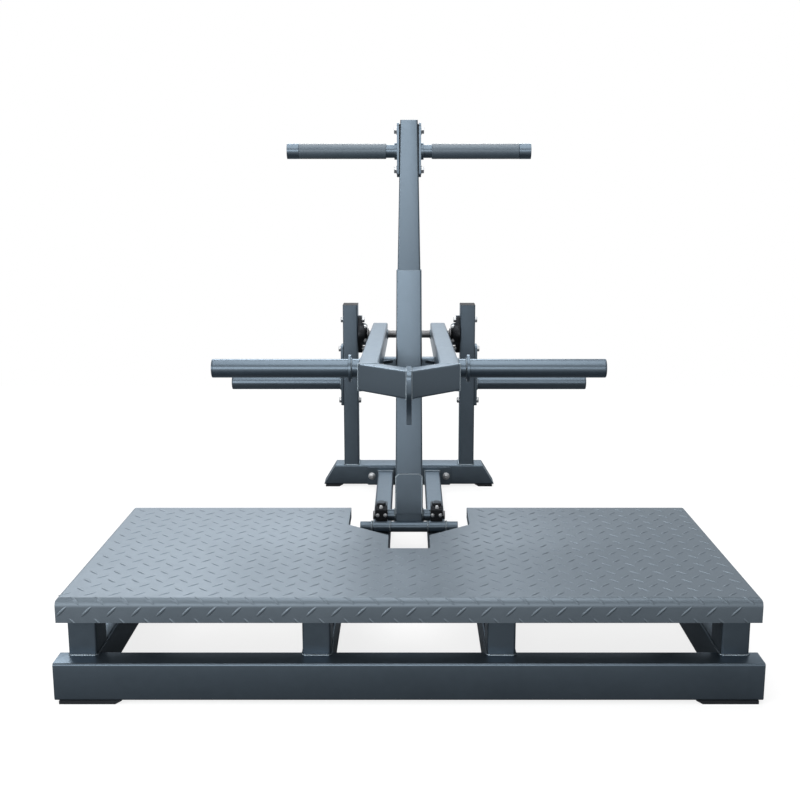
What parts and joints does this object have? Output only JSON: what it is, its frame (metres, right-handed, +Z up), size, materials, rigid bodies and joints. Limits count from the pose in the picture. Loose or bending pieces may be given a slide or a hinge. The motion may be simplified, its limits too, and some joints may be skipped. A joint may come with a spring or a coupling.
{
  "type": "belt squat machine",
  "caption": "Belt squat machine: tread-plate platform with a notch, twin floor beams, towers, a hinged weight lever with plate horns, and a hinged handle column with a catch.",
  "frame": {"origin": "centre of the machine's box, on the floor", "axes": "+X to the user's right when facing the handle, +Y to the towers at the rear, +Z up"},
  "size_m": [1.44, 1.733, 1.1989],
  "materials": {
    "slate_paint": "satin powder coat",
    "tread_plate": "satin powder coat over tread plate",
    "grip_rubber": "textured",
    "foot_rubber": "matt",
    "black_iron": "black",
    "zinc": "zinc plated",
    "bright_steel": "turned"
  },
  "bodies": {
    "frame": {"bearing_bolt_left": "zinc", "bearing_bolt_right": "zinc", "deck_plate": "tread_plate", "end_plate_bolt_left": "zinc", "end_plate_bolt_right": "zinc", "foot_block_left": "black_iron", "foot_block_right": "black_iron", "front_foot_left": "foot_rubber", "front_foot_right": "foot_rubber", "front_post_1": "slate_paint", "front_post_2": "slate_paint", "front_post_3": "slate_paint", "front_post_4": "slate_paint", "front_rail": "slate_paint", "horn_plate_bolt_left": "zinc", "horn_plate_bolt_right": "zinc", "lever_bearing_left": "black_iron", "lever_bearing_right": "black_iron", "mid_beam_left": "slate_paint", "mid_beam_right": "slate_paint", "rear_foot_left": "foot_rubber", "rear_foot_right": "foot_rubber", "rear_rail": "slate_paint", "shared_bolt_left": "zinc", "shared_bolt_right": "zinc", "side_rail_left": "slate_paint", "side_rail_right": "slate_paint", "spine_beam_left": "slate_paint", "spine_beam_right": "slate_paint", "spine_end_plate": "slate_paint", "stop_bar": "slate_paint", "storage_horn_left": "slate_paint", "storage_horn_right": "slate_paint", "storage_plate_left": "slate_paint", "storage_plate_right": "slate_paint", "tower_base": "slate_paint", "tower_foot_left": "foot_rubber", "tower_foot_right": "foot_rubber", "tower_left": "slate_paint", "tower_right": "slate_paint"},
    "lever": {"lever_crossmember": "slate_paint", "lever_hook": "slate_paint", "lever_nose_left": "slate_paint", "lever_nose_right": "slate_paint", "lever_rail_left": "slate_paint", "lever_rail_right": "slate_paint", "lever_shaft": "bright_steel", "weight_horn_left": "slate_paint", "weight_horn_right": "slate_paint"},
    "column": {"column_catch": "slate_paint", "column_hub": "slate_paint", "column_lower": "slate_paint", "column_shaft": "bright_steel", "column_upper": "slate_paint", "grip_left": "grip_rubber", "grip_right": "grip_rubber", "handle_bolt_lower": "zinc", "handle_bolt_upper": "zinc", "handle_left": "slate_paint", "handle_right": "slate_paint"}
  },
  "joints": [
    {"name": "lever_pivot", "type": "hinge", "parent": "frame", "child": "lever", "pos_m": [0, 0.79902, 0.522], "axis": [-1, 0, 0], "range_deg": [0, 18]},
    {"name": "column_pivot", "type": "hinge", "parent": "frame", "child": "column", "pos_m": [0, 0.13052, 0.093], "axis": [1, 0, 0], "range_deg": [0, 10]}
  ]
}
